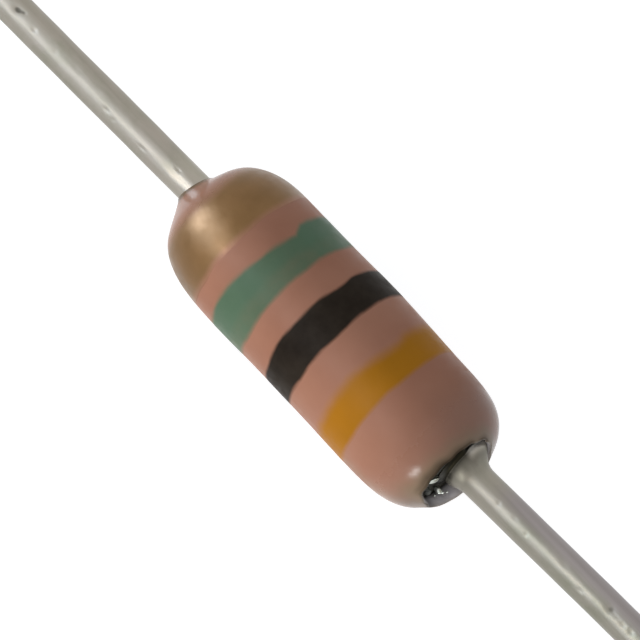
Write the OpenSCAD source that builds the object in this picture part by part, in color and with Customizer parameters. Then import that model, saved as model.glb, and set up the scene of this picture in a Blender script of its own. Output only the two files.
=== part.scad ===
// Axial film resistor of quarter-watt size, in millimetres.
// A ceramic rod carries a resistive film with a spiral groove. Pressed metal caps close
// its ends, a wire lead is welded to each cap, and a dipped lacquer shell covers it all.
// The body lies along X with the origin at its middle. The shell is closed over the -X cap,
// and +X is the end where it stays open on the cap. The leads lean a little from that line,
// as they were welded. Angles round X are counted from +Y towards +Z.

/* [Leads] */
// Diameter of the tinned wire
lead_d = 0.55; // [0.4:0.01:0.7]
// Length of wire beyond each end of the body
lead_len = 28; // [8:0.5:40]
// Diameter of the weld bead where a lead meets its cap
bead_d = 0.92; // [0.8:0.01:1.1]
// Length of the bead before it thins to the wire
bead_len = 0.14; // [0.05:0.01:0.3]
// Length over which the bead thins to the wire
bead_taper = 0.25; // [0.1:0.01:0.6]
// How hollow the thinning is, where 1 is a plain round
bead_hollow = 1.4; // [1:0.1:2]
// Chamfer on the cut tip of a lead
tip_chamfer = 0.04; // [0.02:0.01:0.1]
// Direction in which both welds sit off the middle of their caps, in degrees
weld_angle = 12; // [0:1:360]
// Distance of the left weld from the middle of its cap
weld_off_left = 0.03; // [0:0.01:0.12]
// Distance of the right weld from the middle of its cap
weld_off_right = 0.08; // [0:0.01:0.12]
// Lean of the left lead, in degrees, away from the direction of the welds
lean_left = 1.56; // [0:0.01:4]
// Lean of the right lead, in degrees, in the direction of the welds
lean_right = 2.31; // [0:0.01:4]

/* [Body] */
// Length of the lacquered body from dome to dome
body_len = 6.09; // [5:0.01:9]
// Diameter of the lacquered body
body_d = 2.34; // [1.9:0.01:3.2]
// Length of each dome
dome_len = 1.83; // [1.2:0.01:2.4]
// How late the closed dome starts to turn in
closed_hold = 3.8; // [2:0.1:5]
// Fullness of the closed dome near its tip
closed_full = 3; // [2:0.1:4]
// How late the open dome starts to turn in
open_hold = 4.7; // [2:0.1:6]
// Fullness of the open dome near its tip
open_full = 2.05; // [2:0.05:4]
// Lacquer between the end face of a cap and the tip of its dome
end_wall = 0.32; // [0.25:0.01:0.5]
// Lacquer round a cap
side_wall = 0.26; // [0.2:0.01:0.35]

/* [Neck and mouth] */
// How far the lacquer creeps along the lead at the closed end
neck_len = 0.155; // [0.1:0.005:0.5]
// Thickness of the lacquer on that lead, at the neck's end
neck_wall = 0.035; // [0.03:0.005:0.1]
// How much thicker it is where the neck meets its fillet
neck_swell = 0.01; // [0.005:0.005:0.03]
// Length of the neck's plain end, before its fillet
neck_land = 0.04; // [0.02:0.01:0.08]
// Length of the fillet between neck and dome
neck_fillet_len = 0.24; // [0.15:0.01:0.3]
// Rise of the fillet between neck and dome
neck_fillet_rise = 0.33; // [0.1:0.01:0.35]
// How hollow the fillet is, where 1 is a plain cone
neck_hollow = 1.3; // [1.1:0.1:2]
// Diameter of the open mouth
mouth_d = 1.28; // [1:0.01:1.4]
// Distance of the mouth from the middle of the body
mouth_off = 0.165; // [0:0.005:0.25]
// Direction in which the mouth lies, in degrees
mouth_angle = 119; // [0:1:360]

/* [Caps] */
// Length of a pressed cap
cap_len = 1.15; // [0.8:0.01:1.4]
// Sheet thickness round the side of a cap
cap_wall = 0.12; // [0.08:0.01:0.16]
// Sheet thickness across the end of a cap
cap_end = 0.15; // [0.1:0.01:0.2]
// Outside radius of a cap's pressed corner
cap_corner = 0.25; // [0.18:0.01:0.28]

/* [Rod and film] */
// By how much the rod's chamfer is larger than the round inside a cap
rod_clear = 0.04; // [0.01:0.01:0.1]
// Thickness of the resistive film
film_t = 0.02; // [0.01:0.005:0.04]
// Number of turns of the groove in the film
groove_turns = 7; // [2:1:9]
// Width of the groove
groove_w = 0.1; // [0.05:0.01:0.15]
// Film left whole between a cap and the groove
groove_margin = 0.25; // [0.15:0.01:0.5]

/* [Colour bands] */
// Thickness of the paint
paint_t = 0.02; // [0.01:0.005:0.04]
// Distance of the gold band from the closed tip
gold_at = 0.29; // [0.15:0.01:0.5]
// Width of the gold band
gold_w = 0.89; // [0.4:0.01:1]
// Distance of the green band from the closed tip
green_at = 1.645; // [1.4:0.005:1.8]
// Width of the green band
green_w = 0.58; // [0.3:0.01:0.8]
// Distance of the black band from the closed tip
black_at = 2.775; // [2.6:0.005:3]
// Width of the black band
black_w = 0.535; // [0.3:0.005:0.8]
// Distance of the yellow band from the closed tip
yellow_at = 4.005; // [3.8:0.005:4.2]
// Width of the yellow band
yellow_w = 0.49; // [0.3:0.01:0.8]
// Angle where the wider stretch of a band starts, in which its ends lap
lap_from = -10; // [-40:1:0]
// Angle where that stretch ends
lap_to = 62; // [40:1:90]
// By how much the green band is wider there
green_lap = 0.07; // [0.01:0.01:0.15]
// By how much the black band is wider there
black_lap = 0.04; // [0.01:0.01:0.15]
// By how much the yellow band is wider there
yellow_lap = 0.08; // [0.01:0.01:0.15]

/* [Hidden] */
$fn = 96;

lead_r = lead_d / 2;
bead_r = bead_d / 2;
body_r = body_d / 2;
tip_x = body_len / 2;
// Place on the end face of a cap, or on the mouth, from its distance and direction
function off_axis(off, angle) = off * [0, cos(angle), sin(angle)];
// The caps lie inside the lacquer, and the rod and its film inside the caps
cap_r = body_r - side_wall;
cap_face = tip_x - end_wall;
cap_open = cap_face - cap_len;
bore_r = cap_r - cap_wall;
rod_r = bore_r - film_t;
rod_end = cap_face - cap_end;
// The rod's chamfer clears the round inside the cap, and the film stops where it starts
rod_chamfer = cap_corner - cap_wall + rod_clear;
film_end = rod_end - rod_chamfer;
film_steps = 48;
groove_steps = groove_turns * film_steps;
groove_start = -cap_open + groove_margin;
groove_pitch = -2 * groove_start / groove_turns;
// Points along a curve in a profile
curve_steps = 16;

// Turns what was drawn round Z so that it lies round X, with angles from +Y towards +Z
module along_x() { rotate([90, 0, 90]) children(); }

// Half of a post with a rounded top edge, as a profile
module rounded_profile(r, length, corner) {
    square([r - corner, length]);
    square([r, length - corner]);
    translate([r - corner, length - corner]) circle(corner);
}

// Outer shape of one cap, which also leaves its place in the lacquer
module cap_block() {
    translate([cap_open, 0, 0]) along_x()
        rotate_extrude() rounded_profile(cap_r, cap_len, cap_corner);
}

module cap_hollow() {
    translate([cap_open, 0, 0]) along_x()
        rotate_extrude() rounded_profile(bore_r, cap_len - cap_end, cap_corner - cap_wall);
}

module cap() {
    difference() {
        cap_block();
        cap_hollow();
    }
}

// Turns what was drawn up the Z axis so that it points along a direction
module pointing(d) { rotate([0, acos(d[2] / norm(d)), atan2(d[1], d[0])]) children(); }

// Puts what was drawn up the Z axis on a cap's end face, where and how its lead was welded
module welded_left() {
    translate([-cap_face, 0, 0] + off_axis(weld_off_left, weld_angle))
        pointing([-1, 0, 0] - off_axis(tan(lean_left), weld_angle)) children();
}
module welded_right() {
    translate([cap_face, 0, 0] + off_axis(weld_off_right, weld_angle))
        pointing([1, 0, 0] + off_axis(tan(lean_right), weld_angle)) children();
}

// One lead from its weld to its cut tip. It starts inside the cap, to be trimmed to its face.
module lead_shape() {
    wire_at = bead_len + bead_taper;
    tip_at = end_wall + lead_len;
    // The bead thins in a hollow curve that runs into the wire
    taper = [for (i = [0:curve_steps]) let (t = 90 * i / curve_steps) [
        bead_r - (bead_r - lead_r) * pow(sin(t), bead_hollow),
        wire_at - bead_taper * pow(cos(t), bead_hollow)
    ]];
    rotate_extrude() polygon(concat(
        [[0, -cap_end / 2], [bead_r, -cap_end / 2]],
        taper,
        [[lead_r, tip_at - tip_chamfer], [lead_r - tip_chamfer, tip_at], [0, tip_at]]
    ));
}

// The space inside the outer faces of the two caps
module between_faces() {
    translate([-cap_face, 0, 0]) along_x() cylinder(r = cap_r, h = 2 * cap_face);
}

// Half outline of the dipped body, grown outwards by a coat of paint, as points from -X to +X
function dome_points(hold, full, grow) = [for (i = [0:curve_steps]) let (t = 90 * i / curve_steps) [
    (body_r + grow) * pow(cos(t), 2 / full),
    tip_x - dome_len + (dome_len + grow) * pow(sin(t), 2 / hold)
]];
function mirrored(points) = [for (i = [len(points) - 1:-1:0]) [points[i][0], -points[i][1]]];

module body_profile(grow = 0) {
    closed_dome = dome_points(closed_hold, closed_full, grow);
    open_dome = dome_points(open_hold, open_full, grow);
    polygon(concat(mirrored(closed_dome), open_dome));
}

// Lacquer that creeps along the lead at the closed end, with its fillet down to the dome
module neck() {
    end_r = lead_r + neck_wall;
    neck_r = end_r + neck_swell;
    neck_tip = end_wall + neck_len;
    fillet_tip = neck_tip - neck_land;
    fillet = [for (i = [curve_steps:-1:0]) let (t = i / curve_steps)
        [neck_r + neck_fillet_rise * pow(t, neck_hollow), fillet_tip - neck_fillet_len * t]];
    welded_left() rotate_extrude() polygon(concat(
        [[0, fillet_tip - neck_fillet_len]],
        fillet,
        [[end_r, neck_tip], [0, neck_tip]]
    ));
}

// Everything that the lacquer was dipped over
module dipped_parts() {
    cap_block();
    rotate([0, 0, 180]) cap_block();
    translate([-cap_open, 0, 0]) along_x() cylinder(r = bore_r, h = 2 * cap_open);
    welded_left() lead_shape();
    welded_right() lead_shape();
}

module coating() {
    color([0.72, 0.5, 0.43]) difference() {
        union() {
            along_x() rotate_extrude() body_profile();
            neck();
        }
        dipped_parts();
        translate([cap_face, 0, 0] + off_axis(mouth_off, mouth_angle))
            along_x() cylinder(d = mouth_d, h = body_len);
    }
}

// A stretch of paint on the lacquer, from one angle to the next
module paint(at, width, from, to) {
    along_x() rotate_extrude(angle = to - from, start = from)
        intersection() {
            difference() {
                body_profile(paint_t);
                body_profile();
            }
            translate([0, at - tip_x]) square([body_d, width]);
        }
}

// A band that is wider on its closed side along the stretch where its ends lap
module lapped_band(at, width, lap) {
    paint(at, width, lap_to, lap_from + 360);
    paint(at - lap, width + lap, lap_from, lap_to);
}

module band_gold() {
    color([0.62, 0.48, 0.3]) paint(gold_at, gold_w, 0, 360);
}
module band_green() {
    color([0.3, 0.5, 0.4]) lapped_band(green_at, green_w, green_lap);
}
module band_black() {
    color([0.14, 0.12, 0.11]) lapped_band(black_at, black_w, black_lap);
}
module band_yellow() {
    color([0.75, 0.5, 0.1]) lapped_band(yellow_at, yellow_w, yellow_lap);
}

module end_cap_left() { color([0.62, 0.62, 0.6]) rotate([0, 0, 180]) cap(); }
module end_cap_right() { color([0.62, 0.62, 0.6]) cap(); }

module lead_left() {
    color([0.68, 0.67, 0.62]) difference() {
        welded_left() lead_shape();
        between_faces();
    }
}
module lead_right() {
    color([0.68, 0.67, 0.62]) difference() {
        welded_right() lead_shape();
        between_faces();
    }
}

module ceramic_core() {
    color([0.9, 0.89, 0.85]) along_x() rotate_extrude() polygon([
        [0, -rod_end], [rod_r - rod_chamfer, -rod_end], [rod_r, -film_end],
        [rod_r, film_end], [rod_r - rod_chamfer, rod_end], [0, rod_end]
    ]);
}

// The film is one long strip that winds round the rod between the turns of the groove.
// A station is one step of the winding, and the groove starts at station 0.
function groove_x(station) = groove_start + groove_pitch * station / film_steps;
function strip_low(station) =
    station < film_steps ? -film_end : groove_x(station - film_steps) + groove_w / 2;
function strip_high(station) =
    station <= groove_steps ? groove_x(station) - groove_w / 2 : film_end;
function on_rod(r, station, x) =
    let (a = 360 * station / film_steps) [x, r * cos(a), r * sin(a)];

module resistive_film() {
    // Flat facets stay outside the round rod and inside the round caps
    inner_r = rod_r / cos(180 / film_steps);
    last = groove_steps + film_steps;
    points = [for (s = [0:last]) each [
        on_rod(inner_r, s, strip_low(s)), on_rod(inner_r, s, strip_high(s)),
        on_rod(bore_r, s, strip_low(s)), on_rod(bore_r, s, strip_high(s))
    ]];
    // A corner is a station and its edge, 0 for low and 1 for high.
    // The strip's first edge seals on the next turn, and its last edge on the turn before.
    facets = [for (s = [0:last - 1]) let (n = s + 1)
        n == film_steps ? [[s, 1], [n, 1], [n, 0], [0, 1], [0, 0], [s, 0]]
        : s == groove_steps ? [[n, 0], [s, 0], [s, 1], [last, 0], [last, 1], [n, 1]]
        : [[s, 0], [s, 1], [n, 1], [n, 0]]];
    function inner(corner) = 4 * corner[0] + corner[1];
    function outer(corner) = inner(corner) + 2;
    function wall(a, b) = [outer(a), outer(b), inner(b), inner(a)];
    outside = [for (f = facets) [for (c = f) outer(c)]];
    inside = [for (f = facets) [for (i = [len(f) - 1:-1:0]) inner(f[i])]];
    low_walls = [for (s = [0:last - 1]) wall([s, 0], s + 1 == film_steps ? [0, 0] : [s + 1, 0])];
    high_walls = [for (s = [0:last - 1]) wall([s + 1, 1], s == groove_steps ? [last, 1] : [s, 1])];
    groove_ends = [wall([0, 1], [film_steps, 0]), wall([last, 0], [groove_steps, 1])];
    color([0.35, 0.3, 0.3])
        polyhedron(points, concat(outside, inside, low_walls, high_walls, groove_ends));
}

ceramic_core();
resistive_film();
end_cap_left();
end_cap_right();
lead_left();
lead_right();
coating();
band_gold();
band_green();
band_black();
band_yellow();
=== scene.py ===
"""Axial resistor: a dipped lacquer body with colour bands, seen from above with a long lens."""

import math

import bmesh
import bpy
import numpy as np
from mathutils import Matrix, Vector


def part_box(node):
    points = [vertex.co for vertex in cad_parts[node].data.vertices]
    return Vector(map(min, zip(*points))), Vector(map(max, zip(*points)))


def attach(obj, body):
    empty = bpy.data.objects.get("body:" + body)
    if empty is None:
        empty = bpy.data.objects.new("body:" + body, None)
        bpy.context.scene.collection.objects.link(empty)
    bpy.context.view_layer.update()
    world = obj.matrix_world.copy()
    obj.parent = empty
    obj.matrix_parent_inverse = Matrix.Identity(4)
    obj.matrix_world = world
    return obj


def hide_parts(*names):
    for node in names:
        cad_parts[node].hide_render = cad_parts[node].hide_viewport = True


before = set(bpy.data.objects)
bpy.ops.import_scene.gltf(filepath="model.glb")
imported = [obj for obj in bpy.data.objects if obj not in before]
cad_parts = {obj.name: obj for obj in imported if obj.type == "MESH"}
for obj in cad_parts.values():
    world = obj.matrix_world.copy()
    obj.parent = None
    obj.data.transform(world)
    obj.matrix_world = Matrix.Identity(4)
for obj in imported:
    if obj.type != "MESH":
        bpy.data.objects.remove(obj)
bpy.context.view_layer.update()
MM = 0.001

# Driving sizes, in mm. The body lies along X, and angles round it run from +Y towards +Z
BODY_R = 1.17
DOME_START = 1.215
DOME_LEN = 1.83
# How square each dome's outline is, across the body and along it
CLOSED_DOME = (3.0, 3.8)
OPEN_DOME = (2.05, 4.7)
CAP_FACE = 2.725
CAP_R = 0.91
CAP_CORNER = 0.25
CAP_OPEN = 1.575
BORE_R = 0.79
LEAD_R = 0.275
LEAD_END = 28.32
TIP_CHAMFER = 0.04
BEAD_R = 0.46
BEAD_LEN = 0.14
BEAD_TAPER = 0.25
NECK_TIP = 0.4475
NECK_SLANT = 0.0625
MOUTH_R = 0.64
MOUTH_OFF = 0.165
MOUTH_ANGLE = math.radians(119)
WELD_ANGLE = math.radians(12)
# How far each weld lies off the body's line, and how many degrees its lead leans
WELD_OFF = {-1: 0.03, 1: 0.08}
LEAN = {-1: 1.56, 1: 2.31}
# The side of the body towards the photo's lower left
SIDE = math.radians(191.9)
# The side that faces the camera, turned a little towards the photo's upper right
NEAR_SIDE = math.radians(75)


def radial(angle):
    """Unit vectors out from the body's line at these angles."""
    a = np.asarray(angle, float)
    return np.stack([np.zeros_like(a), np.cos(a), np.sin(a)], -1)


def facing(angle, middle):
    """1 on the side of the body at the middle angle, falling to 0 on the opposite side."""
    return 0.5 + 0.5 * np.cos(angle - middle)


def smooth(lo, hi, x):
    """0 at lo and 1 at hi, with a soft start and end. It falls where lo is above hi."""
    t = np.clip((np.asarray(x, float) - lo) / (hi - lo), 0, 1)
    return t * t * (3 - 2 * t)


def hump(x, middle, width):
    """1 at the middle, falling softly to almost 0 two widths away."""
    return np.exp(-(((x - middle) / width) ** 2))


def ripple(x, angle, seed, octaves=4, turns=1):
    """Seeded smooth noise over the body's length and round it, about -1 to 1."""
    rng = np.random.default_rng(seed)
    total = np.zeros(np.broadcast(x, angle).shape)
    weight = 0
    for octave in range(octaves):
        for _ in range(3):
            k = rng.uniform(0.6, 1.6) * 1.7**octave
            m = int(rng.integers(0, 2 + turns * (octave + 1)))
            p, q = rng.uniform(0, 2 * math.pi, 2)
            total = total + np.sin(k * x + p) * np.cos(m * angle + q) / 1.5**octave
            weight += 0.5 / 1.5**octave
    return total / weight


def cubic(t, p0, p1, p2, p3):
    """Point at t on the curve from p0 to p3 that p1 and p2 pull on."""
    return (1 - t) ** 3 * p0 + 3 * (1 - t) ** 2 * t * p1 + 3 * (1 - t) * t * t * p2 + t**3 * p3


def mesh_object(name, verts, faces, rounded=True, attributes=None):
    mesh = bpy.data.meshes.new(name)
    mesh.from_pydata((np.asarray(verts) * MM).tolist(), [], faces)
    mesh.validate()
    mesh.polygons.foreach_set("use_smooth", [rounded] * len(mesh.polygons))
    for key, values in (attributes or {}).items():
        layer = mesh.attributes.new(key, "FLOAT", "POINT")
        layer.data.foreach_set("value", np.asarray(values, np.float32).ravel())
    mesh.update()
    obj = bpy.data.objects.new(name, mesh)
    bpy.context.scene.collection.objects.link(obj)
    return obj


def revolve(name, rings, closed=False, attributes=None):
    """A solid from an array of rings, in order along the piece.

    A closed one runs from its last ring back to its first, and the others get flat ends.
    """
    rings = np.asarray(rings)
    count, n = rings.shape[:2]
    faces = []
    for i in range(count if closed else count - 1):
        a, b = i * n, ((i + 1) % count) * n
        for j in range(n):
            k = (j + 1) % n
            faces.append((a + j, a + k, b + k, b + j))
    if not closed:
        faces.append(tuple(range(n)))
        faces.append(tuple((count - 1) * n + j for j in reversed(range(n))))
    obj = mesh_object(name, rings.reshape(-1, 3), faces, attributes=attributes)
    bm = bmesh.new()
    bm.from_mesh(obj.data)
    bmesh.ops.recalc_face_normals(bm, faces=bm.faces)
    if bm.calc_volume(signed=True) < 0:
        bmesh.ops.reverse_faces(bm, faces=bm.faces)
    bm.to_mesh(obj.data)
    bm.free()
    return obj


# The two leads' own lines


def lead_line(end):
    """Weld point, direction and two side directions of the left (-1) or right (1) lead."""
    side = radial(WELD_ANGLE)
    start = np.array([end * CAP_FACE, 0, 0]) + WELD_OFF[end] * side
    d = np.array([float(end), 0, 0]) + end * math.tan(math.radians(LEAN[end])) * side
    d /= np.linalg.norm(d)
    v = np.cross(d * end, [0, 1, 0])
    v /= np.linalg.norm(v)
    u = np.cross(v, d * end)
    return start, d, u, v


LINES = {end: lead_line(end) for end in (-1, 1)}


def lead_ring(end, along, r, angle):
    """Points round a lead at a distance along it. Angles are as round the body."""
    start, d, u, v = LINES[end]
    r = np.broadcast_to(r, angle.shape)
    along = np.broadcast_to(along, angle.shape)
    out = (r * np.cos(angle))[..., None] * u + (r * np.sin(angle))[..., None] * v
    return start + along[..., None] * d + out


# The dipped body's outline

# A swelling of the body: its height, place and length
SWELL, SWELL_X, SWELL_LEN = 0.010, 0.35, 0.7
# A sway from side to side: its height, place and length
SWAY, SWAY_X, SWAY_LEN = 0.012, 0.14, 3.1
# A flat on the closed dome, on the side away from the photo's lower left
FLAT, FLAT_X, FLAT_LEN = 0.026, -2.68, 0.36
LUMP = 0.004
# Swelling, sway and lumps fade out towards both ends
FADE_START, FADE_END = 2.4, 3.0


def dome_r(x):
    """Radius of the dipped body at x."""
    x = np.asarray(x, float)
    across = np.where(x < 0, CLOSED_DOME[0], OPEN_DOME[0])
    along = np.where(x < 0, CLOSED_DOME[1], OPEN_DOME[1])
    reach = np.clip((np.abs(x) - DOME_START) / DOME_LEN, 0, 1)
    return BODY_R * (1 - reach**along) ** (1 / across)


def dome_x(r, dome):
    """Distance of a dome from the body's middle where its radius is r."""
    across, along = dome
    return DOME_START + DOME_LEN * (1 - (r / BODY_R) ** across) ** (1 / along)


def dome_outline(end, dome, last_x, steps):
    """x and radius in even turns of a dome's outline, from the straight part to last_x."""
    across, along = dome
    last_turn = np.arcsin(((last_x - DOME_START) / DOME_LEN) ** (along / 2))
    for s in np.linspace(0, 1, steps):
        t = last_turn * s
        x = DOME_START + DOME_LEN * np.sin(t) ** (2 / along)
        yield end * x, BODY_R * np.cos(t) ** (2 / across)


def lumps(x, angle):
    """How far the dipped surface stands off its plain outline."""
    swell = SWELL * hump(x, SWELL_X, SWELL_LEN)
    sway = -SWAY * np.cos(2 * math.pi * (x - SWAY_X) / SWAY_LEN) * np.cos(angle - SIDE)
    fade = smooth(FADE_END, FADE_START, np.abs(x))
    flat = -FLAT * hump(x, FLAT_X, FLAT_LEN) * (1 - facing(angle, SIDE))
    return (swell + sway) * fade + LUMP * ripple(x, angle, 5) * fade + flat


# Points round the body, and their angles
POINTS = 288
TURN = np.arange(POINTS) * 2 * math.pi / POINTS
DEGREES = np.degrees(TURN)
LOWER_LEFT = facing(TURN, SIDE)


def body_ring(x, r):
    return np.stack([x + 0 * TURN, r * np.cos(TURN), r * np.sin(TURN)], -1)


def corner_rings(end, turns):
    """Rings round a cap's rounded corner, which lies at turn 0 on its face."""
    for a in turns:
        x = CAP_FACE - CAP_CORNER * (1 - math.cos(a))
        yield body_ring(end * x, CAP_R - CAP_CORNER + CAP_CORNER * math.sin(a))


# The mouth

# Waves in its outline: height, number of waves and phase
MOUTH_WAVES = ((0.014, 5, 1.0), (0.010, 9, 2.2), (0.007, 17, 0.0))
# It opens a little at its upper corner: height, place and width of two humps
MOUTH_CORNER = ((0.055, math.radians(53), 0.25), (-0.012, math.radians(64), 0.07))
# Past that corner it hugs the weld, by this much round this angle
MOUTH_HUG = 0.115
HUG_ANGLE = math.radians(-24)
# How far the thick lip stands forward, and how far it reaches out from the mouth
LIP = 0.052
LIP_WIDTH = 0.22
RIM_WIDTH = 0.075
# The rim's crest lies this far out from the mouth, and the rim is at most this deep
CREST_OUT = 0.01
RIM_DEPTH = 0.12


def mouth_reach(angle):
    """Distance of the mouth's edge from the body's line."""
    r = MOUTH_R
    for height, waves, phase in MOUTH_WAVES:
        r = r + height * np.sin(waves * angle + phase)
    for height, middle, width in MOUTH_CORNER:
        r = r + height * hump(angle, middle, width)
    r = r - MOUTH_HUG * smooth(0.55, 0.90, np.cos(angle - HUG_ANGLE))
    a = angle - MOUTH_ANGLE
    return MOUTH_OFF * np.cos(a) + np.sqrt(r**2 - (MOUTH_OFF * np.sin(a)) ** 2)


MOUTH = mouth_reach(TURN)
RIM_R = MOUTH + RIM_WIDTH
# Painted shade lies on the mouth's side towards the camera, most of it towards the left as the camera
# sees it
NEAR_SHADE = smooth(34, 46, DEGREES) * smooth(175, 140, DEGREES) * (1 - 0.9 * hump(DEGREES, 63, 5))
HEAVY_SHADE = smooth(60, 100, DEGREES) * smooth(160, 120, DEGREES)
# Painted shade also darkens the mouth's lower corner
CORNER_SHADE = 0.70 * hump(DEGREES, 190, 17)
# The most painted shade that the mouth gets
MOST_SHADE = 0.95


def lip(r):
    """How far the mouth's rim stands forward. It is thickest away from the camera."""
    return LIP * (1 - facing(TURN, NEAR_SIDE)) * smooth(LIP_WIDTH, 0.0, r - MOUTH)


# Lacquer: each part gives its rings, each with how thin and bare it looks and how much painted shade
# and soot darken it

# The neck's tip: distance back from its end and height above the lead
NECK_OUTLINE = ((0.006, 0.0), (0.0, 0.008), (0.006, 0.026), (0.022, 0.042))
NECK_WAVES = 0.006
NECK_BARE = 0.8
# Painted shade at the neck's tip
NECK_SHADE = 0.18
# How far the neck's curve follows its own slant, and how far the dome's slope
NECK_PULL = 0.08
DOME_PULL = 0.20
# Where the neck meets the dome
ROOT_R = 0.77 + 0.03 * LOWER_LEFT
ROOT_X = dome_x(ROOT_R, CLOSED_DOME)
# Painted shade on the lacquer's inner side
INNER_SHADE = 0.9


def neck_part():
    """The neck: a slanted tip on the left lead, and a curve into the closed dome."""
    tip = NECK_TIP + NECK_SLANT * np.cos(TURN - SIDE) + NECK_WAVES * ripple(0, TURN, 21, 3, 2)
    # Painted shade round the tip, darker towards the lower left, with fine unevenness
    tip_shade = NECK_SHADE + 0.35 * LOWER_LEFT + 0.1 * ripple(0, TURN, 61, 3, 3)
    for back, height in NECK_OUTLINE:
        p0 = lead_ring(-1, tip - back, LEAD_R + height, TURN)
        yield p0, NECK_BARE, tip_shade
    p3 = body_ring(-ROOT_X, ROOT_R + lumps(-ROOT_X, TURN))
    # The curve leaves the neck at a slant and meets the dome along its own slope
    axis = np.array([1.0, 0, 0])
    outward = radial(TURN)
    slant = axis * np.ones((POINTS, 1)) + outward * (0.60 + 0.30 * LOWER_LEFT)[:, None]
    p1 = p0 + slant / np.linalg.norm(slant, axis=1)[:, None] * NECK_PULL
    step = 0.02
    slope = (dome_x(ROOT_R - step, CLOSED_DOME) - dome_x(ROOT_R + step, CLOSED_DOME)) / (2 * step)
    along_dome = (axis * (-slope)[:, None] - outward) / np.sqrt(1 + slope**2)[:, None]
    p2 = p3 + along_dome * (DOME_PULL - 0.03 * LOWER_LEFT)[:, None]
    for t in np.linspace(0, 1, 26)[1:]:
        # Painted shade fades along the start of the curve, strongest towards the lower left
        soot_and_shade = smooth(0.42, 0.0, t) * (NECK_SHADE + 0.50 * LOWER_LEFT**2)
        yield cubic(t, p0, p1, p2, p3), NECK_BARE * smooth(0.3, 0.0, t), soot_and_shade


def closed_dome_part():
    outline = list(dome_outline(-1, CLOSED_DOME, ROOT_X, 60))
    for x, r in reversed(outline[:-1]):
        yield body_ring(x, r + lumps(x, TURN)), 0, 0


def straight_part():
    for x in np.linspace(-DOME_START, DOME_START, 50)[1:-1]:
        yield body_ring(x, BODY_R + lumps(x, TURN)), 0, 0


def open_dome_part():
    """The open dome, which looks bare in a belt round the mouth, widest at its lower corner."""
    belt = 0.22 + 0.45 * hump(DEGREES, 190, 24)
    # Painted shade darkens a band just outside the rim, widest where the shade is heavy
    shade_width = 0.045 + 0.055 * HEAVY_SHADE
    shade_level = 0.3 * NEAR_SHADE + 0.35 * HEAVY_SHADE + 0.5 * CORNER_SHADE
    for x, r in dome_outline(1, OPEN_DOME, dome_x(RIM_R, OPEN_DOME), 60):
        stain = 0.05 * ripple(4 * r, TURN, 63, 4, 3)
        thin = NECK_BARE * smooth(belt, 0.0, r - RIM_R + stain)
        soot_and_shade = shade_level * smooth(shade_width, -0.02, r - RIM_R + 0.8 * stain)
        yield body_ring(x + lip(r), r + lumps(x, TURN)), thin, np.clip(soot_and_shade, 0, 1)


def rim_part(p0):
    """The rounded rim, from the dome's last ring, and the mouth's wall down to the cap."""
    crest = dome_x(MOUTH + CREST_OUT, OPEN_DOME) + lip(MOUTH)
    depth = np.minimum(RIM_DEPTH, 0.6 * (crest - CAP_FACE))
    p1 = body_ring(crest, RIM_R - 0.45 * RIM_WIDTH)
    p2 = body_ring(crest - 0.2 * depth, MOUTH)
    p3 = body_ring(crest - depth, MOUTH)
    for t in np.linspace(0, 1, 12)[1:]:
        # Painted shade darkens the rim more towards the mouth
        soot_and_shade = NEAR_SHADE * (0.45 + 0.5 * t) + 0.3 * HEAVY_SHADE + CORNER_SHADE
        thin = 0.9 + 0.5 * t * (1 - NEAR_SHADE)
        yield cubic(t, p0, p1, p2, p3), thin, np.clip(soot_and_shade, 0, MOST_SHADE)
    # Painted shade darkens the wall more the deeper it goes, but less where it lies snug on the weld
    snug = smooth(0.65, 0.95, np.cos(TURN + math.radians(10)))
    for s in (0.35, 0.7, 1.0):
        x = (crest - depth) * (1 - s) + CAP_FACE * s
        soot_and_shade = NEAR_SHADE + CORNER_SHADE + 0.75 * s * s * (1 - 0.7 * snug)
        yield body_ring(x, MOUTH + 0.01 * s), 1.4, np.clip(soot_and_shade, 0, MOST_SHADE)


def inner_part():
    """The lacquer's inner side: over the right cap, the rod, the left cap and its lead."""
    turns = np.linspace(0, math.pi / 2, 7)
    rings = list(corner_rings(1, turns))
    rings += [body_ring(CAP_OPEN, CAP_R), body_ring(CAP_OPEN, BORE_R)]
    rings += [body_ring(-CAP_OPEN, BORE_R), body_ring(-CAP_OPEN, CAP_R)]
    rings += corner_rings(-1, turns[::-1])
    taper_end = BEAD_LEN + BEAD_TAPER
    for along, r in ((0, BEAD_R), (BEAD_LEN, BEAD_R), (BEAD_LEN + 0.06, 0.36), (taper_end, LEAD_R)):
        rings.append(lead_ring(-1, along, r, TURN))
    return [(ring, 1, INNER_SHADE) for ring in rings]


def lacquer_rings():
    """All rings of the lacquer and the values that its material reads."""
    rows = [*neck_part(), *closed_dome_part(), *straight_part(), *open_dome_part()]
    rows += rim_part(rows[-1][0])
    rows += inner_part()
    rings = np.array([ring for ring, _, _ in rows])
    thin = np.array([value + 0 * TURN for _, value, _ in rows])
    soot_and_shade = np.array([value + 0 * TURN for _, _, value in rows])
    # Painted shade: the lacquer darkens towards the mouth, most on the side away from the lower left
    # where the light comes from, and at the open dome's lower corner
    x = rings[..., 0]
    away = 0.43 * (0.55 - 0.45 * np.cos(TURN - SIDE)) * smooth(1.4, 2.5, x)
    corner = 0.40 * hump(DEGREES, 187, 24) * smooth(2.35, 2.75, x)
    painted_shade = (away + corner) * (1 - smooth(0.9, 1.2, thin))
    return rings, {"thin": thin, "soot_and_shade": soot_and_shade, "painted_shade": painted_shade}


RINGS, lacquer_values = lacquer_rings()
lacquer = revolve("lacquer", RINGS, closed=True, attributes=lacquer_values)

# Colour bands

PAINT = 0.0018
# How far a band's mesh reaches beyond the middle of its soft edges, and how deep it goes
EDGE = 0.07
DEPTH = 0.015
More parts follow.
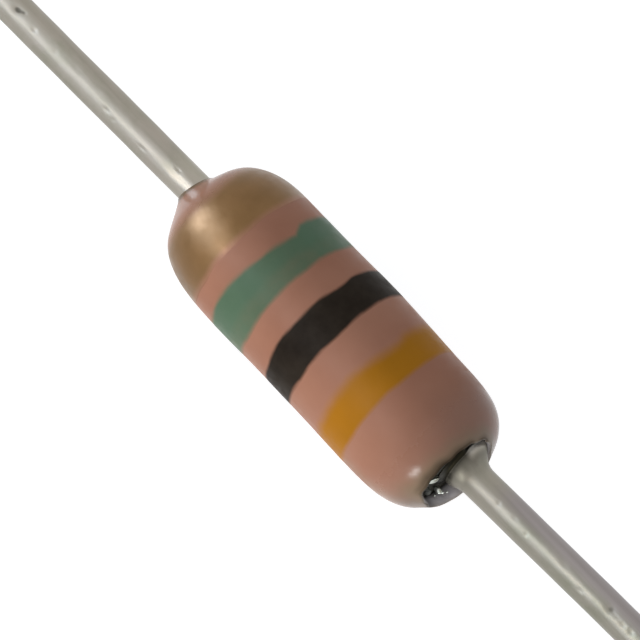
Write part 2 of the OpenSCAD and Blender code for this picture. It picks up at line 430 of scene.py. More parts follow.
# How far the mesh starts below the lacquer's surface, and how far it then rises
SINK = 0.0004
RISE = 0.0012
BAND_RINGS = 60
# The ring of the neck at which the gold band's mesh starts
GOLD_START = 14
# Left and right edge of each band at these angles round the body, in degrees
EDGE_ANGLES = [20, 45, 58, 68, 75, 90, 102, 115, 130, 145, 160, 200]
# Then how far each edge fades, how uneven the edges are, and how much thinner the paint gets
BANDS = {
    "gold": dict(
        left=[-2.80, -2.79, -2.77, -2.76, -2.75, -2.74, -2.75, -2.77, -2.77, -2.78, -2.76, -2.74],
        right=[-1.88, -1.88, -1.88, -1.89, -1.90, -1.89, -1.89, -1.89, -1.89, -1.85, -1.85, -1.86],
        soft=(0.15, 0.09), rough=0.010, thin=0.0, seed=11,
    ),
    "green": dict(
        left=[-1.45, -1.45, -1.465, -1.35, -1.375, -1.41, -1.43, -1.47, -1.49, -1.49, -1.46, -1.42],
        right=[-0.80, -0.80, -0.80, -0.805, -0.81, -0.82, -0.82, -0.81, -0.81, -0.79, -0.78, -0.79],
        soft=(0.06, 0.06), rough=0.016, thin=0.07, seed=12,
    ),
    "black": dict(
        left=[-0.27, -0.29, -0.325, -0.305, -0.30, -0.335, -0.34, -0.34, -0.34, -0.30, -0.255, -0.23],
        right=[0.28, 0.26, 0.255, 0.257, 0.26, 0.28, 0.275, 0.27, 0.275, 0.32, 0.29, 0.28],
        soft=(0.04, 0.04), rough=0.017, thin=0.0, seed=13,
    ),
    "yellow": dict(
        left=[0.92, 0.92, 0.907, 0.975, 0.98, 0.94, 0.91, 0.885, 0.91, 0.93, 0.95, 0.95],
        right=[1.45, 1.44, 1.45, 1.455, 1.46, 1.475, 1.455, 1.47, 1.475, 1.50, 1.50, 1.48],
        soft=(0.13, 0.06), rough=0.010, thin=0.0, seed=14,
    ),
}


def band_edges(b):
    """A band's left and right edge at every angle of the body."""
    # The band's hidden side joins its last and first known angle
    angles = EDGE_ANGLES + [EDGE_ANGLES[0] + 360]
    turned = np.where(DEGREES < EDGE_ANGLES[0], DEGREES + 360, DEGREES)
    edges = []
    for known, seed in ((b["left"], b["seed"]), (b["right"], b["seed"] + 40)):
        edge = np.interp(turned, angles, known + known[:1])
        edges.append(edge + b["rough"] * ripple(0, TURN, seed, 4, 4))
    return edges


def offset(rings, far):
    """The surface that these rings make, moved outwards by this distance at each point."""
    along = np.gradient(rings, axis=0)
    across = np.roll(rings, -1, axis=1) - np.roll(rings, 1, axis=1)
    out = np.cross(across, along)
    return rings + out / np.linalg.norm(out, axis=2)[..., None] * np.asarray(far)[..., None]


def band_base(name, left, right):
    """Rings of the lacquer's surface that this band covers."""
    if name == "gold":
        # This one lies on the neck's root too, so it follows the lacquer's own rings
        last = next(i for i, ring in enumerate(RINGS) if ring[0, 0] > right.max() + EDGE)
        return RINGS[GOLD_START:last]
    s = np.linspace(0, 1, BAND_RINGS)[:, None]
    x = (left - EDGE - BANDS[name]["soft"][0]) * (1 - s) + (right + EDGE) * s
    return body_ring(x, dome_r(x) + lumps(x, TURN))


def band(name):
    b = BANDS[name]
    left, right = band_edges(b)
    base = band_base(name, left, right)
    x = base[..., 0]
    grain = 1.2 * b["rough"] * ripple(9.0 * x, TURN, b["seed"] + 7, 4, 6)
    from_left = x - left + grain
    from_right = right - x + grain
    coat = 1
    for soft, inside in zip(b["soft"], (from_left, from_right)):
        coat = coat * smooth(-soft, soft, inside)
    # The green paint is thinner towards its right edge, less so on its lap, and on the near side
    lap = smooth(70, 62, DEGREES)
    coat = coat * (1 - b["thin"] * smooth(0.36, 0.18, from_right) * (1 - 0.3 * lap))
    near_side = smooth(64, 72, DEGREES) * smooth(118, 104, DEGREES)
    coat = coat * (1 - 0.4 * b["thin"] * near_side)
    # The band rises out of the lacquer so gently that its own edge doesn't show
    s = np.linspace(0, 1, len(base))[:, None]
    rise = RISE * smooth(0, 0.2, np.minimum(s, 1 - s)) - SINK
    inner = list(range(len(base) - 1, -1, -6))
    whole = np.concatenate([offset(base, PAINT * coat + rise), offset(base, 0 * coat - DEPTH)[inner]])
    values = np.concatenate([coat, coat[inner]])
    return revolve("band_%s_paint" % name, whole, closed=True, attributes={"coat": values})


bands = {name: band(name) for name in BANDS}

# Leads

# Points round a lead, and their angles, also from -180 to 180 degrees
LEAD_POINTS = 128
LEAD_TURN = np.arange(LEAD_POINTS) * 2 * math.pi / LEAD_POINTS
LEAD_DEGREES = np.degrees(LEAD_TURN)
SIGNED_DEGREES = (LEAD_DEGREES + 180) % 360 - 180
# The weld's thin skirt on the cap, and the bead's side, which narrows a little upwards
SKIRT = 0.012
SKIRT_EDGE = 0.01
SIDE_START = 0.016
SIDE_END = 0.6 * BEAD_LEN
NARROWING = 0.010
# The bead's own radius, how far it bulges to one side, and how uneven it is
BEAD_TOP_R = 0.395
BEAD_BULGE = 0.07
BEAD_LUMPS = 0.006
# Height of the solder in the mouth's upper corner, at its lower corner and up the wire
UPPER_SOLDER = 0.085
LOWER_SOLDER = 0.045
WIRE_SOLDER = 0.03
# The wire meets the bead at this radius, and then has this mean radius and these waves
TAPER_R = LEAD_R + 0.003
WIRE_R = LEAD_R + 0.001
WIRE_WAVES = 0.0035
WIRE_START = BEAD_LEN + BEAD_TAPER
# The photo shows the wires up to here, so their rings are dense only before it
SEEN_END = 5.0
FINE_STEP = 0.02
COARSE_STEP = 0.3
# Seeds of each lead's bead and wire
BEAD_SEED = {-1: 32, 1: 31}
WIRE_SEED = {-1: 52, 1: 51}
# Nicks in each wire: distance along it, angle round it in degrees, depth, length, width in degrees
NICKS = {
    -1: (
        (4.30, 98, 0.019, 0.085, 13), (4.20, 90, 0.011, 0.05, 8), (3.90, 107, 0.010, 0.05, 7),
        (3.42, 110, 0.004, 0.05, 8), (3.00, 96, 0.004, 0.10, 10), (2.24, 125, 0.010, 0.07, 6),
        (2.05, 132, 0.006, 0.05, 6), (1.43, 131, 0.010, 0.08, 5), (0.78, 96, 0.010, 0.07, 5),
        (1.75, 84, 0.004, 0.09, 8), (2.60, 88, 0.004, 0.08, 9), (0.74, 115, 0.009, 0.36, 15),
    ),
    1: (
        (0.96, 106, 0.008, 0.04, 9), (1.30, 104, 0.005, 0.06, 7), (1.60, 117, 0.007, 0.04, 7),
        (0.74, 65, 0.010, 0.04, 4), (0.80, 68, -0.006, 0.03, 3), (3.36, 99, 0.014, 0.085, 17),
        (3.50, 104, 0.005, 0.08, 9), (3.66, 108, 0.007, 0.07, 9), (3.83, 107, 0.009, 0.06, 9),
        (2.35, 100, 0.005, 0.08, 8), (2.80, 125, 0.006, 0.06, 6),
    ),
}


def nicked(end, along):
    """Depth of the nicks round a wire at this distance along it."""
    total = 0 * LEAD_TURN
    for place, turn, depth, length, width in NICKS[end]:
        total = total + depth * hump(LEAD_DEGREES, turn, width) * hump(along, place, length)
    return total


def foot(end, r):
    """Distance along a lead at which each point of a ring meets the cap's face."""
    start, d, _, _ = LINES[end]
    return -(lead_ring(end, 0, r, LEAD_TURN) - start)[:, 0] / d[0]


def bead_r(end):
    """Radius of the weld bead, which bulges towards the photo's upper right."""
    r = BEAD_TOP_R + BEAD_BULGE * np.cos(LEAD_TURN - WELD_ANGLE)
    r = r + BEAD_LUMPS * ripple(0, LEAD_TURN, BEAD_SEED[end], 3, 2)
    if end > 0:
        # Solder nearly fills the mouth's upper corner, and bulges a little at the lower one
        r = r + UPPER_SOLDER * smooth(5, 32, LEAD_DEGREES) * smooth(84, 58, LEAD_DEGREES)
        r = r + LOWER_SOLDER * hump(LEAD_TURN, math.radians(215), 0.60)
    return r


def shoulder(end, along):
    """Height of the solder that runs a little way up the right wire."""
    return WIRE_SOLDER * (end > 0) * hump(SIGNED_DEGREES, 15, 29) * hump(along, 0.32, 0.09)


def lead_rings(end):
    """Rings of a lead: the weld's skirt, the bead, its taper into the wire, and the wire."""
    bead = bead_r(end)
    for rise in (0, SKIRT):
        yield lead_ring(end, foot(end, BEAD_R) + rise, BEAD_R, LEAD_TURN)
    for t in np.linspace(0, 1, 6):
        r = bead + (BEAD_R - SKIRT_EDGE - bead) * (1 - t) ** 5 - NARROWING * t**2
        along = foot(end, r) * (1 - t) + SIDE_START + t * (SIDE_END - SIDE_START)
        yield lead_ring(end, along, r, LEAD_TURN)
    for t in np.linspace(0, 1, 24)[1:]:
        drop = 0.6 * smooth(0, 1, t) + 0.4 * smooth(0.2, 0.9, t)
        r = bead - NARROWING - (bead - NARROWING - TAPER_R) * drop
        along = SIDE_END + (WIRE_START - SIDE_END) * t
        yield lead_ring(end, along, r + shoulder(end, along), LEAD_TURN)
    fine = np.arange(WIRE_START + 0.03, SEEN_END, FINE_STEP)
    coarse = np.arange(SEEN_END, LEAD_END - 0.1, COARSE_STEP)
    for along in (*fine, *coarse):
        wave = ripple(2 * along, LEAD_TURN + 0.02 * along, WIRE_SEED[end], 4, 3)
        r = WIRE_R + WIRE_WAVES * wave + shoulder(end, along) - nicked(end, along)
        yield lead_ring(end, along, r, LEAD_TURN)
    yield lead_ring(end, LEAD_END - TIP_CHAMFER, LEAD_R, LEAD_TURN)
    yield lead_ring(end, LEAD_END, LEAD_R - TIP_CHAMFER, LEAD_TURN)


def lead_values(end, rings):
    """What the wire's material reads: how dirt, painted shade and a painted highlight change it, from
    0 where darkest to 1 where brightest, and two tones.
    """
    start, d, _, _ = LINES[end]
    away = np.abs((rings - start) @ d)
    dirt = 0.32 * smooth(0.006, 0.018, np.array([nicked(end, row) for row in away]))
    if end < 0:
        # This wire gets a painted highlight in its colour near the body, and is smoother there
        painted_light_and_dirt = 0.5 + 0.5 * smooth(1.2, 0.6, away)
        return {"painted_light_and_dirt": painted_light_and_dirt - dirt, "solder": 0 * away, "painted_mauve": 0 * away}
    # Solder shows on the side of the mouth's upper corner, and painted shade darkens the rest of the
    # weld, most on its side towards the camera and round its skirt
    side = smooth(82, 66, SIGNED_DEGREES) * smooth(-30, 0, SIGNED_DEGREES)
    solder = smooth(0.20, 0.07, away) * side
    clear = 1 - 0.9 * smooth(0.24, 0.12, away) * side
    skirt = 0.5 * smooth(0.085, 0.05, away) * smooth(45, 80, LEAD_DEGREES)
    painted_light_and_dirt = 0.5 - 0.33 * smooth(0.60, 0.08, away) * facing(LEAD_TURN, NEAR_SIDE) * clear - skirt
    # Painted reflection: away from the body, the side towards the upper right is tinted mauve
    upper_right = smooth(-0.15, 0.55, np.cos(LEAD_TURN - SIDE + math.pi))
    return {"painted_light_and_dirt": painted_light_and_dirt - dirt, "solder": solder, "painted_mauve": upper_right * smooth(0.6, 1.2, away)}


def lead(name, end):
    rings = np.array(list(lead_rings(end)))
    return revolve(name, rings, attributes=lead_values(end, rings))


wire_left = lead("wire_left", -1)
wire_right = lead("wire_right", 1)

# Right cap, seen in the mouth

CAP_RADII = (0.02, 0.1, 0.2, 0.3, 0.36, 0.42, 0.48, 0.54, 0.6, 0.66)
# Drops of solder and lacquer on its face: x, distance from the body's line, angle in degrees,
# half sizes along x, outwards and round, and how much painted shade and soot darken it
DROPS = (
    (2.75, 0.52, 147, (0.04, 0.12, 0.035), 0.0),
    (2.755, 0.66, 160, (0.03, 0.05, 0.03), 0.95),
    (2.80, 0.44, 200, (0.085, 0.045, 0.06), 0.1),
    (2.76, 0.58, 178, (0.05, 0.06, 0.05), 0.85),
    (2.76, 0.52, 222, (0.05, 0.05, 0.06), 0.75),
    (2.84, 0.50, 226, (0.02, 0.03, 0.022), 0.1),
    (2.87, 0.47, 233, (0.016, 0.02, 0.02), 0.1),
    (2.80, 0.57, 214, (0.02, 0.022, 0.03), 0.2),
)


def cap_mesh():
    """The pressed cup, painted dark all over as shade and soot, with its bottom towards the mouth."""
    rings = []
    for r in CAP_RADII:
        # The face is uneven round the weld
        uneven = smooth(0.35, 0.45, r) * smooth(0.66, 0.6, r)
        rings.append(body_ring(CAP_FACE - 0.002 + 0.006 * ripple(r * 9, TURN, 71, 3, 3) * uneven, r))
    rings += list(corner_rings(1, np.linspace(0, math.pi / 2, 9)))[1:]
    # Down its side, and back up its bore to the inner side of its face
    for x, r in (
        (CAP_OPEN, CAP_R),
        (CAP_OPEN, BORE_R),
        (CAP_FACE - 0.2, BORE_R),
        (CAP_FACE - 0.15, BORE_R - 0.1),
        (CAP_FACE - 0.15, CAP_RADII[0]),
    ):
        rings.append(body_ring(x, r))
    return revolve("cap_right", rings, attributes={"soot_and_shade": np.ones((len(rings), POINTS))})


def add_drops(obj, drops):
    """Add these drops to a mesh, each one a slightly uneven oval."""
    bm = bmesh.new()
    bm.from_mesh(obj.data)
    layer = bm.verts.layers.float["soot_and_shade"]
    for x, r, turn, (half_x, half_out, half_round), soot_and_shade in drops:
        out = radial(math.radians(turn))
        tangent = np.array([0, -out[2], out[1]])
        middle = np.array([x, 0, 0]) + r * out
        made = bmesh.ops.create_uvsphere(bm, u_segments=32, v_segments=20, radius=1.0)
        for vert in made["verts"]:
            a, b, c = vert.co
            wobble = 1 + 0.12 * math.sin(5 * a + 3 * b) * math.cos(4 * c + turn)
            reach = np.array([a * half_x, 0, 0]) + b * half_out * out + c * half_round * tangent
            vert.co = Vector((middle + wobble * reach) * MM)
            vert[layer] = soot_and_shade
    for face in bm.faces:
        face.smooth = True
    bm.to_mesh(obj.data)
    bm.free()


cap_right = cap_mesh()
add_drops(cap_right, DROPS)

# Materials

# Sockets of Blender's Mix node for colours
MIX_FACTOR, MIX_A, MIX_B, MIX_RESULT = 0, 6, 7, 2


class Nodes:
    """Adds the nodes of one tree."""

    def __init__(self, tree):
        self.tree = tree
        tree.nodes.clear()

    def add(self, kind, **props):
        node = self.tree.nodes.new(kind)
        for key, value in props.items():
            setattr(node, key, value)
        return node

    def link(self, source, target):
        self.tree.links.new(source, target)

    def feed(self, target, value):
        """Set a socket to a number or colour, or link another node's output to it."""
        if isinstance(value, (int, float)):
            target.default_value = value
        elif isinstance(value, tuple):
            target.default_value = (*value, 1.0)
        else:
            self.link(value, target)

    def ramp(self, factor, stops):
        node = self.add("ShaderNodeValToRGB")
        elements = node.color_ramp.elements
        while len(elements) < len(stops):
            elements.new(0.5)
        for element, (position, colour) in zip(elements, stops):
            element.position = position
            element.color = (*colour, 1.0)
        self.link(factor, node.inputs["Fac"])
        return node.outputs["Color"]

    def math(self, operation, a, b=None, clamp=False):
        node = self.add("ShaderNodeMath", operation=operation, use_clamp=clamp)
        self.feed(node.inputs[0], a)
        if b is not None:
            self.feed(node.inputs[1], b)
        return node.outputs[0]

    def range(self, value, lo, hi, to_lo=0.0, to_hi=1.0):
        node = self.add("ShaderNodeMapRange", interpolation_type="SMOOTHSTEP")
        for key, x in (("From Min", lo), ("From Max", hi), ("To Min", to_lo), ("To Max", to_hi)):
            node.inputs[key].default_value = x
        self.link(value, node.inputs["Value"])
        return node.outputs[0]

    def mix(self, factor, a, b, blend="MIX"):
        node = self.add("ShaderNodeMix", data_type="RGBA", blend_type=blend)
        for socket, value in ((MIX_FACTOR, factor), (MIX_A, a), (MIX_B, b)):
            self.feed(node.inputs[socket], value)
        return node.outputs[MIX_RESULT]

    def between(self, factor, a, b):
        """The number a where the factor is 0 and b where it is 1."""
        return self.math("ADD", a, self.math("MULTIPLY", factor, self.math("SUBTRACT", b, a)))

    def seen(self):
        """1 for what the camera, a reflection or glass sees, and 0 for light on the object."""
        path = self.add("ShaderNodeLightPath")
        total = self.math("ADD", path.outputs["Is Camera Ray"], path.outputs["Is Glossy Ray"], True)
        return self.math("ADD", total, path.outputs["Is Transmission Ray"], True)


class Look(Nodes):
    """The nodes of one new material, with its surface shader."""

    def __init__(self, name):
        self.mat = bpy.data.materials.new(name)
        self.mat.use_nodes = True
        super().__init__(self.mat.node_tree)
        self.out = self.add("ShaderNodeOutputMaterial")
        self.bsdf = self.add("ShaderNodeBsdfPrincipled")
        self.link(self.bsdf.outputs[0], self.out.inputs[0])
        self.coord = self.add("ShaderNodeTexCoord").outputs["Object"]

    def surface(self, key, value):
        """Feed one socket of the surface shader."""
        self.feed(self.bsdf.inputs[key], value)

    def attribute(self, name):
        return self.add("ShaderNodeAttribute", attribute_name=name).outputs["Fac"]

    def scaled(self, scale):
        node = self.add("ShaderNodeMapping")
        node.inputs["Scale"].default_value = scale
        self.link(self.coord, node.inputs["Vector"])
        return node.outputs[0]

    def noise(self, scale, detail=4.0, rough=0.55, vector=None):
        node = self.add("ShaderNodeTexNoise")
        for key, value in (("Scale", scale), ("Detail", detail), ("Roughness", rough)):
            node.inputs[key].default_value = value
        self.link(vector or self.coord, node.inputs["Vector"])
        return node.outputs["Fac"]

    def bump(self, height, strength, distance):
        node = self.add("ShaderNodeBump")
        node.inputs["Strength"].default_value = strength
        node.inputs["Distance"].default_value = distance
        self.link(height, node.inputs["Height"])
        self.surface("Normal", node.outputs[0])


PINK = (0.42, 0.192, 0.120)
PINK_DARK = (0.385, 0.170, 0.104)
PINK_LIGHT = (0.445, 0.210, 0.134)
BARE_GREY = (0.298, 0.230, 0.130)
LIP_GREY = (0.82, 0.75, 0.76)
# Colour of painted shade and soot
SHADE_SOOT_TONE = (0.024, 0.019, 0.011)
# Colour of the painted shade towards the mouth
PAINTED_SHADE_TONE = (0.09, 0.05, 0.035)
# Colour of dirt and painted shade on the wires
WIRE_DIRT_AND_SHADE = (0.018, 0.016, 0.010)
# Colour of the painted mauve reflection on the wire
PAINTED_MAUVE_REFLECTION = (0.97, 0.92, 1.06)
# Colour of the painted highlight near the body
PAINTED_WIRE_HIGHLIGHT = (0.75, 0.70, 0.60)
SOLDER = (0.50, 0.46, 0.40)
# The lacquer's gloss changes between these distances from the body's middle, in metres
GLOSS_START, GLOSS_END = 0.0019, 0.0025


def skin(n, roughness):
    """Fine unevenness of a dipped surface."""
    grain = n.noise(6000.0, 3.0, 0.5)
    n.surface("Roughness", n.math("MULTIPLY", n.range(grain, 0.3, 0.7, 0.85, 1.15), roughness))
    n.bump(grain, 0.10, 0.00002)


def lacquer_look(n):
    """Colour, roughness and gloss level of the lacquer."""
    thin = n.attribute("thin")
    soot_and_shade = n.attribute("soot_and_shade")
    pink = n.ramp(n.noise(900.0, 3.0, 0.5), ((0.3, PINK_DARK), (0.5, PINK), (0.72, PINK_LIGHT)))
    tone = n.mix(n.math("MULTIPLY", thin, 0.9, True), pink, BARE_GREY)
    tone = n.mix(n.range(thin, 0.9, 1.4), tone, LIP_GREY)
    # Flecks break up the painted shade and soot where they are light
    fleck = n.math("MULTIPLY", n.math("SUBTRACT", n.noise(7000.0, 4.0, 0.6), 0.5), 0.6)
    unshaded = n.math("SUBTRACT", 1.0, soot_and_shade)
    shaded = n.math("MULTIPLY", soot_and_shade, n.math("SUBTRACT", 1.0, n.math("MULTIPLY", fleck, unshaded)), True)
    # Painted shade and soot darken the tone, and so does the painted shade towards the mouth
    tone = n.mix(n.attribute("painted_shade"), n.mix(shaded, tone, SHADE_SOOT_TONE), PAINTED_SHADE_TONE)
    # It is glossier towards both ends, where the lacquer has run thin, but not where it is bare
    place = n.add("ShaderNodeSeparateXYZ")
    n.link(n.coord, place.inputs[0])
    reach = n.math("ABSOLUTE", place.outputs[0])
    gloss = n.math("MULTIPLY", n.range(reach, GLOSS_START, GLOSS_END, 0.12, 0.32), unshaded)
    gloss = n.math("MULTIPLY", gloss, n.range(thin, 0.75, 1.1, 1.0, 0.3))
    return tone, n.range(reach, GLOSS_START, GLOSS_END, 0.40, 0.22), gloss


def lacquer_material():
    n = Look("pink_lacquer")
    tone, roughness, gloss = lacquer_look(n)
    n.surface("Base Color", tone)
    n.surface("Specular IOR Level", gloss)
    n.surface("IOR", 1.47)
    skin(n, roughness)
    return n.mat


def paint_material(name, light, dark, roughness, gloss, metallic=0.0, mottle=1400.0):
    n = Look(name)
    coat = n.attribute("coat")
    # Grain breaks up the paint only where it thins out
    fleck = n.math("SUBTRACT", n.noise(3500.0, 4.0, 0.6), 0.5)
    thinning = n.math("MULTIPLY", coat, n.math("SUBTRACT", 1.0, coat))
    coat = n.math("ADD", coat, n.math("MULTIPLY", n.math("MULTIPLY", thinning, fleck), 2.4), True)
    paint = n.ramp(n.noise(mottle, 3.0, 0.5), ((0.3, dark), (0.65, light)))
    lacquer_tone, lacquer_roughness, lacquer_gloss = lacquer_look(n)
    n.surface("Base Color", n.mix(coat, lacquer_tone, paint))
    n.surface("Specular IOR Level", n.between(coat, lacquer_gloss, gloss))
    n.surface("IOR", 1.47)
    if metallic:
        n.surface("Metallic", n.math("MULTIPLY", coat, metallic))
    skin(n, n.between(coat, lacquer_roughness, roughness))
    return n.mat


def metal_look(n, light, dark, roughness, scale, streak=(1.0, 1.0, 1.0)):
    """Cloudy colour and roughness of a metal, and the noise that both follow."""
    cloud = n.noise(scale, vector=n.scaled(streak))
    tone = n.ramp(cloud, ((0.3, dark), (0.7, light)))
    return tone, n.range(cloud, 0.3, 0.7, roughness * 0.85, roughness * 1.15), cloud


def wire_material(name, light, dark, roughness):
    """Dull tin with long draw lines and patches of warmer and cooler grey."""
    n = Look(name)
    tone, rough, cloud = metal_look(n, light, dark, roughness, 9000.0, (0.03, 1.0, 1.0))
    patch = n.noise(1500.0, 5.0, 0.65, n.scaled((0.6, 1.0, 1.0)))
    warmth = n.ramp(patch, (
        (0.35, (0.86, 0.88, 0.82)),
        (0.5, (1.0, 0.985, 0.975)),
        (0.65, (1.07, 1.03, 1.035)),
    ))
    # A painted mauve reflection on one side
    tone = n.mix(1.0, tone, n.mix(n.attribute("painted_mauve"), warmth, PAINTED_MAUVE_REFLECTION), "MULTIPLY")
    # This value is 0.5 on plain wire, more where a painted highlight brightens it and less where dirt
    # and painted shade darken it
    painted_light_and_dirt = n.attribute("painted_light_and_dirt")
    # Painted highlight near the body
    tone = n.mix(n.range(painted_light_and_dirt, 0.5, 1.0, 0.0, 0.08), tone, PAINTED_WIRE_HIGHLIGHT)
    solder = n.attribute("solder")
    tone = n.mix(solder, tone, SOLDER)
    n.surface("Base Color", n.mix(n.range(painted_light_and_dirt, 0.5, 0.0), tone, WIRE_DIRT_AND_SHADE))
    n.surface("Metallic", n.math("SUBTRACT", 1.0, n.math("MULTIPLY", solder, 0.75)))
    n.surface("Roughness", n.math("MULTIPLY", rough, n.range(painted_light_and_dirt, 0.5, 1.0, 1.0, 0.80)))
    fine = n.noise(14000.0, 4.0, 0.6, n.scaled((0.15, 1.0, 1.0)))
    n.bump(n.math("ADD", cloud, n.math("MULTIPLY", fine, 0.6)), 0.22, 0.00001)
    return n.mat


def cap_material(name, light, dark, roughness):
    """Tinned steel that painted shade and soot darken, and that soot dulls."""
    n = Look(name)
    tone, rough, cloud = metal_look(n, light, dark, roughness, 3000.0)
    soot_and_shade = n.attribute("soot_and_shade")
    # Painted shade and soot darken the steel
    n.surface("Base Color", n.mix(n.math("MULTIPLY", soot_and_shade, 0.95), tone, SHADE_SOOT_TONE))
    n.surface("Metallic", n.math("SUBTRACT", 1.0, n.math("MULTIPLY", soot_and_shade, 0.9)))
    n.surface("Specular IOR Level", 0.1)
    n.surface("Roughness", n.math("ADD", rough, n.math("MULTIPLY", soot_and_shade, 0.35)))
    n.bump(cloud, 0.15, 0.00001)
    return n.mat


def plain_material(name, light, dark, roughness, scale):
    """A cloudy, slightly rough surface, for the hidden pieces."""
    n = Look(name)
    n.surface("Base Color", n.ramp(n.noise(scale, 5.0, 0.6), ((0.3, dark), (0.7, light))))
    n.surface("Roughness", roughness)
    n.bump(n.noise(scale * 3, 4.0, 0.6), 0.2, 0.00001)
    return n.mat


LACQUER = lacquer_material()
PAINTS = {
    "gold": paint_material(
        "gold_paint", (0.209, 0.103, 0.026), (0.172, 0.082, 0.015), 0.35,
        gloss=0.70, metallic=0.44, mottle=2200.0,
    ),
    "green": paint_material(
        "green_paint", (0.102, 0.172, 0.102), (0.086, 0.150, 0.084), 0.42,
        gloss=0.15,
    ),
    "black": paint_material(
        "black_paint", (0.031, 0.0225, 0.0155), (0.017, 0.0115, 0.0075), 0.45,
        gloss=0.05, mottle=2600.0,
    ),
    "yellow": paint_material(
        "yellow_paint", (0.465, 0.182, 0.007), (0.42, 0.165, 0.006), 0.42,
        gloss=0.1,
    ),
}
WIRE = wire_material("tinned_wire", (0.350, 0.326, 0.278), (0.284, 0.265, 0.223), 0.48)
# The right wire is the same tin, painted darker as shade, and a little smoother
WIRE_RIGHT_SHADED = wire_material("tinned_wire_shaded", (0.306, 0.291, 0.245), (0.244, 0.232, 0.193), 0.42)
STEEL = cap_material("cap_steel", (0.75, 0.78, 0.72), (0.45, 0.48, 0.43), 0.28)
CERAMIC = plain_material("fired_ceramic", (0.86, 0.85, 0.80), (0.78, 0.76, 0.70), 0.7, 3000.0)
FILM = plain_material("resistive_film", (0.14, 0.13, 0.13), (0.07, 0.065, 0.065), 0.4, 4000.0)

# Pieces into the frame

PIECES = [
    (lacquer, LACQUER, "coating", "pink_lacquer"),
    (wire_left, WIRE, "lead_left", "tinned_wire"),
    (wire_right, WIRE_RIGHT_SHADED, "lead_right", "tinned_wire"),
    (cap_right, STEEL, "end_cap_right", "cap_steel"),
]
for name, piece in bands.items():
    PIECES.append((piece, PAINTS[name], "band_" + name, name + "_paint"))
for piece, material, node, slot in PIECES:
    piece.data.materials.append(material)
    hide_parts(node)
    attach(piece, "root")
for node, material in (("ceramic_core", CERAMIC), ("resistive_film", FILM), ("end_cap_left", STEEL)):
    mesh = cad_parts[node].data
    mesh.materials.clear()
    mesh.materials.append(material)

# Camera, at the photo's angle and scale

AZIMUTH = math.radians(48.0)
ELEVATION = math.radians(72.52)
PICTURE_PX = 640
PX_PER_MM = 66.0
# Where the middle of the body lies in the picture, from its centre, in pixels
OFF_X, OFF_Y = 14.2, 18.3
CAMERA_DISTANCE = 0.12

TO_CAMERA = Vector((
    math.sin(AZIMUTH) * math.cos(ELEVATION),
    -math.cos(AZIMUTH) * math.cos(ELEVATION),
    math.sin(ELEVATION),
))
RIGHT_DIR = Vector((math.cos(AZIMUTH), math.sin(AZIMUTH), 0))
UP_DIR = TO_CAMERA.cross(RIGHT_DIR)
AIM = (-RIGHT_DIR * OFF_X + UP_DIR * OFF_Y) * (MM / PX_PER_MM)

camera = bpy.data.objects.new("camera", bpy.data.cameras.new("camera"))
bpy.context.scene.collection.objects.link(camera)
camera.data.type = "ORTHO"
camera.data.ortho_scale = PICTURE_PX / PX_PER_MM * MM
camera.data.clip_start = 0.001
camera.data.clip_end = 10.0
camera.location = AIM + TO_CAMERA * CAMERA_DISTANCE
camera.rotation_euler = TO_CAMERA.to_track_quat("Z", "Y").to_euler()
bpy.context.scene.camera = camera

# Floor and world: both look white, and light the object at their own plain level

FLOOR_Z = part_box("band_black")[0].z
FLOOR_HALF = 0.4
FLOOR_GLOW = 0.86
FILL = 0.425
FILL_TINT = (0.94, 1.01, 1.10)


def floor_material():
    n = Look("floor_white")
    seen = n.seen()
    paper = n.ramp(n.noise(40.0, 2.0, 0.5), ((0.3, (0.84, 0.84, 0.84)), (0.7, (0.86, 0.86, 0.86))))
    n.surface("Base Color", n.mix(seen, paper, (0.45, 0.45, 0.45)))
    n.surface("Roughness", 0.9)
    n.surface("Specular IOR Level", 0.0)
    glow = n.add("ShaderNodeEmission")
    glow.inputs["Color"].default_value = (1, 1, 1, 1)
    n.link(n.math("MULTIPLY", seen, FLOOR_GLOW), glow.inputs["Strength"])
    both = n.add("ShaderNodeAddShader")
    n.link(n.bsdf.outputs[0], both.inputs[0])
    n.link(glow.outputs[0], both.inputs[1])
    n.link(both.outputs[0], n.out.inputs[0])
    return n.mat


def studio_world():
    """White where it is seen, and a dimmer, cool fill light on the object."""
    world = bpy.data.worlds.new("studio")
    world.use_nodes = True
    n = Nodes(world.node_tree)
    seen = n.seen()
    background = n.add("ShaderNodeBackground")
    n.link(n.mix(seen, FILL_TINT, (1.0, 1.0, 1.0)), background.inputs["Color"])
    n.link(n.range(seen, 0.0, 1.0, FILL, 1.0), background.inputs["Strength"])
    n.link(background.outputs[0], n.add("ShaderNodeOutputWorld").inputs[0])
    return world


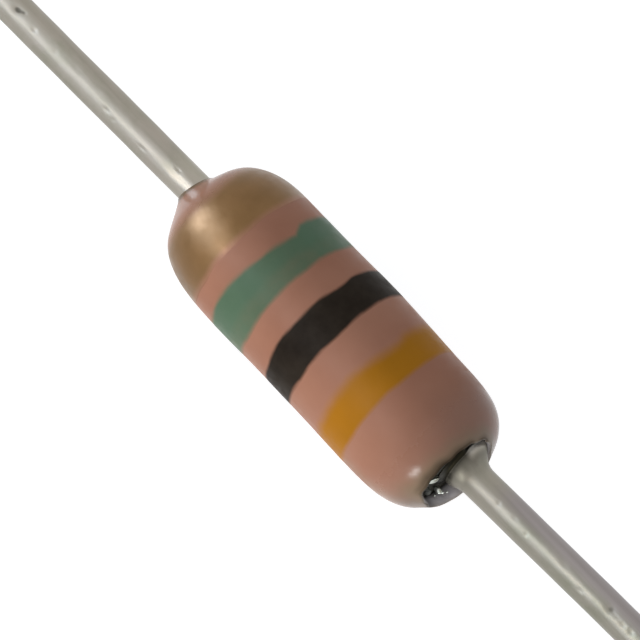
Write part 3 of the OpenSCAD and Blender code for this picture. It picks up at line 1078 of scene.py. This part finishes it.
SIGNS = ((-1, -1), (1, -1), (1, 1), (-1, 1))
corners = [(x * FLOOR_HALF, y * FLOOR_HALF, FLOOR_Z) for x, y in SIGNS]
floor = mesh_object("floor", np.array(corners) / MM, [(0, 1, 2, 3)], rounded=False)
floor.data.materials.append(floor_material())
bpy.context.scene.world = studio_world()

# Lamps

LAMP_DISTANCE = 0.3
COOL = (1.0, 1.22, 1.56)
WARM = (1.15, 1.0, 0.8)


def lamp(name, direction, size, level, along=(0, 0, 1), mirrored=True, colour=(1, 1, 1)):
    """A lamp in this direction from the body. Its level is the light that it gives.

    Its first size lies along the direction named along. A mirrored lamp only gives
    highlights, and the others only give soft light.
    """
    d = Vector(direction).normalized()
    data = bpy.data.lights.new(name, "AREA")
    data.shape = "RECTANGLE"
    data.size, data.size_y = size
    data.energy = level * math.pi**2 * LAMP_DISTANCE**2
    data.color = colour
    obj = bpy.data.objects.new(name, data)
    bpy.context.scene.collection.objects.link(obj)
    obj.location = d * LAMP_DISTANCE
    x_axis = (Vector(along) - d * d.dot(Vector(along))).normalized()
    obj.rotation_euler = Matrix((x_axis, d.cross(x_axis), d)).transposed().to_euler()
    obj.visible_glossy = mirrored
    obj.visible_diffuse = not mirrored
    obj.visible_camera = False


# The main light comes low from the photo's lower left, and a softer one from its left
lamp("key", (0.0, -0.99, 0.13), (0.3, 0.07), 0.48, (1, 0, 0), mirrored=False)
lamp("side", (-0.65, -0.515, 0.545), (0.25, 0.18), 0.22, (-0.57, 0.215, -0.47), mirrored=False)
# The others give the highlights
lamp("strip", (-0.62, -0.53, 0.57), (0.25, 0.19), 0.42, (-0.57, 0.215, -0.47), colour=COOL)
lamp("window", (-0.87, -0.38, 0.30), (0.15, 0.13), 0.36, colour=COOL)
lamp("edge", (-0.22, -0.60, 0.77), (0.045, 0.032), 0.070, colour=WARM)
lamp("glint", (0.60, -0.79, 0.10), (0.12, 0.05), 0.33, (0.27, 0.34, 0.9))

bpy.context.scene.view_settings.view_transform = "Standard"
